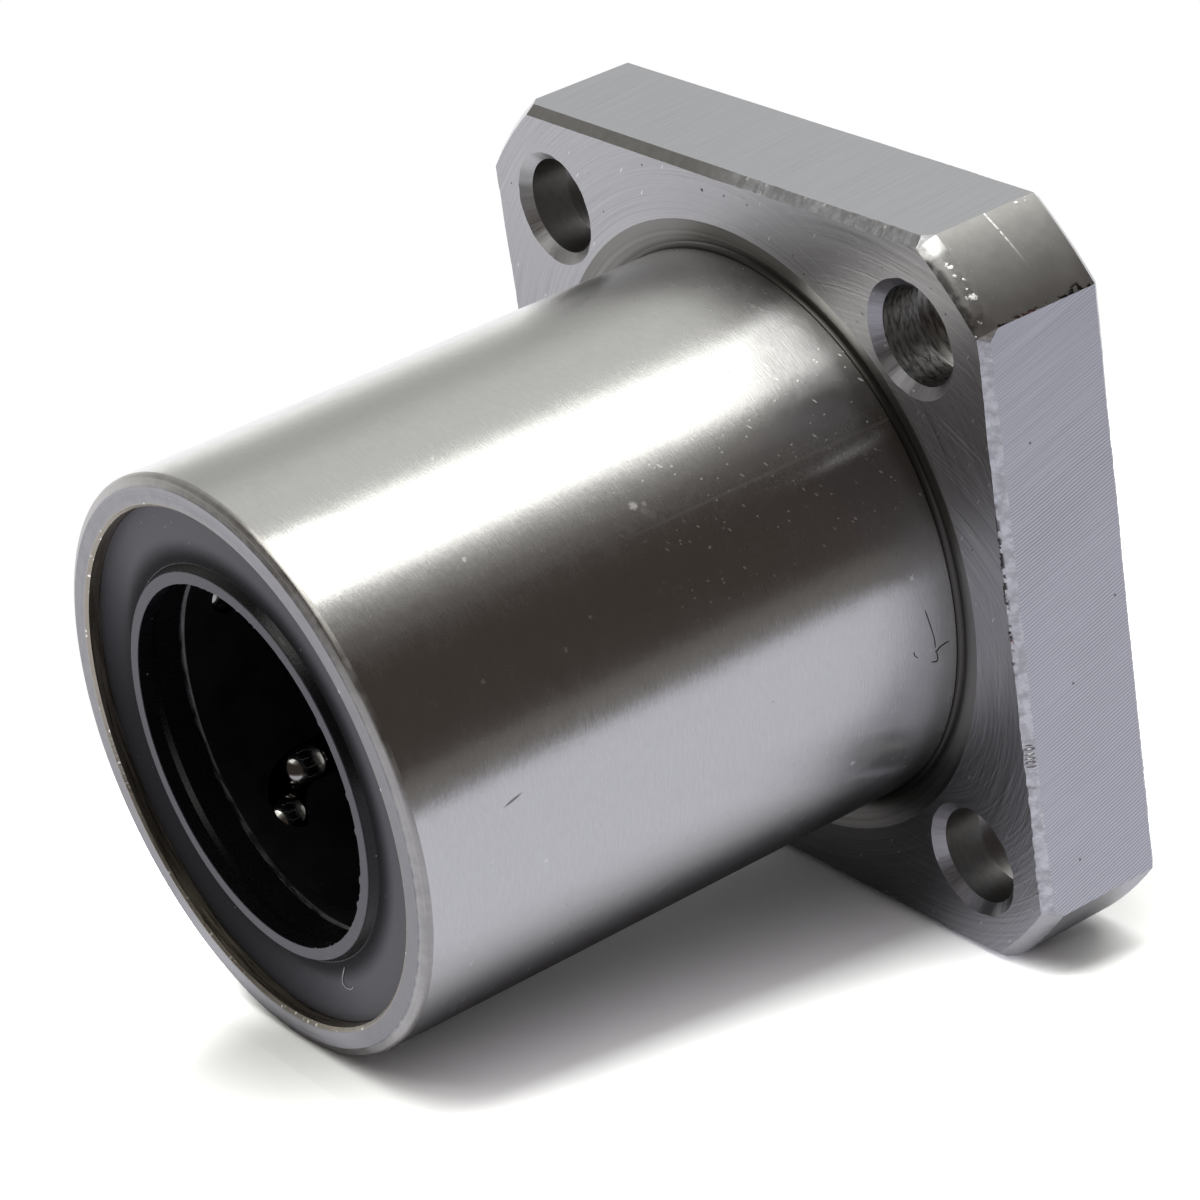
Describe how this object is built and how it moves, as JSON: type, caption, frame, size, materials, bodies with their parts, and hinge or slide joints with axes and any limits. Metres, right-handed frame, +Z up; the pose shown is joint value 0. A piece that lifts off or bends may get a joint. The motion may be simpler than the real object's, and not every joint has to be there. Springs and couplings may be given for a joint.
{
  "type": "square flange linear bearing",
  "caption": "Ground steel sleeve with a square bolt-on flange at one end, holding circuits of recirculating balls that carry a straight-moving round shaft between two lip seals.",
  "frame": {"origin": "on the bearing axis, in the plane of the flange's mounting face", "axes": "+Y along the bearing axis from the nose to the back of the flange, +Z up, with the flange's flats level and upright"},
  "size_m": [0.042, 0.042, 0.042],
  "materials": {
    "ground_steel": "ground",
    "ring_steel": "satin",
    "ball_steel": "polished",
    "cage_resin": "matte",
    "seal_rubber": "matte"
  },
  "bodies": {
    "sleeve": {"flanged_sleeve": "ground_steel", "ball_retainer": "cage_resin", "front_end_ring": "ring_steel", "rear_end_ring": "ring_steel", "front_seal": "seal_rubber", "rear_seal": "seal_rubber"},
    "load_balls_1": {"load_balls_1": "ball_steel"},
    "nose_turn_balls_1": {"nose_turn_balls_1": "ball_steel"},
    "return_balls_1": {"return_balls_1": "ball_steel"},
    "rear_turn_balls_1": {"rear_turn_balls_1": "ball_steel"},
    "load_balls_2": {"load_balls_2": "ball_steel"},
    "nose_turn_balls_2": {"nose_turn_balls_2": "ball_steel"},
    "return_balls_2": {"return_balls_2": "ball_steel"},
    "rear_turn_balls_2": {"rear_turn_balls_2": "ball_steel"},
    "load_balls_3": {"load_balls_3": "ball_steel"},
    "nose_turn_balls_3": {"nose_turn_balls_3": "ball_steel"},
    "return_balls_3": {"return_balls_3": "ball_steel"},
    "rear_turn_balls_3": {"rear_turn_balls_3": "ball_steel"},
    "load_balls_4": {"load_balls_4": "ball_steel"},
    "nose_turn_balls_4": {"nose_turn_balls_4": "ball_steel"},
    "return_balls_4": {"return_balls_4": "ball_steel"},
    "rear_turn_balls_4": {"rear_turn_balls_4": "ball_steel"},
    "load_balls_5": {"load_balls_5": "ball_steel"},
    "nose_turn_balls_5": {"nose_turn_balls_5": "ball_steel"},
    "return_balls_5": {"return_balls_5": "ball_steel"},
    "rear_turn_balls_5": {"rear_turn_balls_5": "ball_steel"}
  },
  "joints": [
    {"name": "circuit_1_load_row", "type": "slide", "parent": "sleeve", "child": "load_balls_1", "axis": [0, -1, 0], "range_m": [0, 0.00358]},
    {"name": "circuit_1_return_row", "type": "slide", "parent": "sleeve", "child": "return_balls_1", "axis": [0, 1, 0], "range_m": [0, 0.00358]},
    {"name": "circuit_1_nose_turn", "type": "hinge", "parent": "sleeve", "child": "nose_turn_balls_1", "pos_m": [-0.00792, -0.02554, -0.00877], "axis": [0.8007, 0, 0.599], "range_deg": [0, 90]},
    {"name": "circuit_1_rear_turn", "type": "hinge", "parent": "sleeve", "child": "rear_turn_balls_1", "pos_m": [-0.00792, -0.00046, -0.00877], "axis": [0.8007, 0, 0.599], "range_deg": [0, 90]},
    {"name": "circuit_2_load_row", "type": "slide", "parent": "sleeve", "child": "load_balls_2", "axis": [0, -1, 0], "range_m": [0, 0.00358]},
    {"name": "circuit_2_return_row", "type": "slide", "parent": "sleeve", "child": "return_balls_2", "axis": [0, 1, 0], "range_m": [0, 0.00358]},
    {"name": "circuit_2_nose_turn", "type": "hinge", "parent": "sleeve", "child": "nose_turn_balls_2", "pos_m": [-0.01079, -0.02554, 0.00482], "axis": [0.8171, 0, -0.5764], "range_deg": [0, 90]},
    {"name": "circuit_2_rear_turn", "type": "hinge", "parent": "sleeve", "child": "rear_turn_balls_2", "pos_m": [-0.01079, -0.00046, 0.00482], "axis": [0.8171, 0, -0.5764], "range_deg": [0, 90]},
    {"name": "circuit_3_load_row", "type": "slide", "parent": "sleeve", "child": "load_balls_3", "axis": [0, -1, 0], "range_m": [0, 0.00358]},
    {"name": "circuit_3_return_row", "type": "slide", "parent": "sleeve", "child": "return_balls_3", "axis": [0, 1, 0], "range_m": [0, 0.00358]},
    {"name": "circuit_3_nose_turn", "type": "hinge", "parent": "sleeve", "child": "nose_turn_balls_3", "pos_m": [0.00125, -0.02554, 0.01175], "axis": [-0.2957, 0, -0.9553], "range_deg": [0, 90]},
    {"name": "circuit_3_rear_turn", "type": "hinge", "parent": "sleeve", "child": "rear_turn_balls_3", "pos_m": [0.00125, -0.00046, 0.01175], "axis": [-0.2957, 0, -0.9553], "range_deg": [0, 90]},
    {"name": "circuit_4_load_row", "type": "slide", "parent": "sleeve", "child": "load_balls_4", "axis": [0, -1, 0], "range_m": [0, 0.00358]},
    {"name": "circuit_4_return_row", "type": "slide", "parent": "sleeve", "child": "return_balls_4", "axis": [0, 1, 0], "range_m": [0, 0.00358]},
    {"name": "circuit_4_nose_turn", "type": "hinge", "parent": "sleeve", "child": "nose_turn_balls_4", "pos_m": [0.01156, -0.02554, 0.00244], "axis": [-0.9999, 0, -0.014], "range_deg": [0, 90]},
    {"name": "circuit_4_rear_turn", "type": "hinge", "parent": "sleeve", "child": "rear_turn_balls_4", "pos_m": [0.01156, -0.00046, 0.00244], "axis": [-0.9999, 0, -0.014], "range_deg": [0, 90]},
    {"name": "circuit_5_load_row", "type": "slide", "parent": "sleeve", "child": "load_balls_5", "axis": [0, -1, 0], "range_m": [0, 0.00358]},
    {"name": "circuit_5_return_row", "type": "slide", "parent": "sleeve", "child": "return_balls_5", "axis": [0, 1, 0], "range_m": [0, 0.00358]},
    {"name": "circuit_5_nose_turn", "type": "hinge", "parent": "sleeve", "child": "nose_turn_balls_5", "pos_m": [0.0059, -0.02554, -0.01024], "axis": [-0.3223, 0, 0.9466], "range_deg": [0, 90]},
    {"name": "circuit_5_rear_turn", "type": "hinge", "parent": "sleeve", "child": "rear_turn_balls_5", "pos_m": [0.0059, -0.00046, -0.01024], "axis": [-0.3223, 0, 0.9466], "range_deg": [0, 90]}
  ],
  "couplings": [
    {"joint": "circuit_1_return_row", "follows": "circuit_1_load_row", "ratio": 1},
    {"joint": "circuit_1_nose_turn", "follows": "circuit_1_load_row", "rad_per_m": 438.38},
    {"joint": "circuit_1_rear_turn", "follows": "circuit_1_load_row", "rad_per_m": 438.38},
    {"joint": "circuit_2_return_row", "follows": "circuit_2_load_row", "ratio": 1},
    {"joint": "circuit_2_nose_turn", "follows": "circuit_2_load_row", "rad_per_m": 438.38},
    {"joint": "circuit_2_rear_turn", "follows": "circuit_2_load_row", "rad_per_m": 438.38},
    {"joint": "circuit_3_return_row", "follows": "circuit_3_load_row", "ratio": 1},
    {"joint": "circuit_3_nose_turn", "follows": "circuit_3_load_row", "rad_per_m": 438.38},
    {"joint": "circuit_3_rear_turn", "follows": "circuit_3_load_row", "rad_per_m": 438.38},
    {"joint": "circuit_4_return_row", "follows": "circuit_4_load_row", "ratio": 1},
    {"joint": "circuit_4_nose_turn", "follows": "circuit_4_load_row", "rad_per_m": 438.38},
    {"joint": "circuit_4_rear_turn", "follows": "circuit_4_load_row", "rad_per_m": 438.38},
    {"joint": "circuit_5_return_row", "follows": "circuit_5_load_row", "ratio": 1},
    {"joint": "circuit_5_nose_turn", "follows": "circuit_5_load_row", "rad_per_m": 438.38},
    {"joint": "circuit_5_rear_turn", "follows": "circuit_5_load_row", "rad_per_m": 438.38}
  ]
}
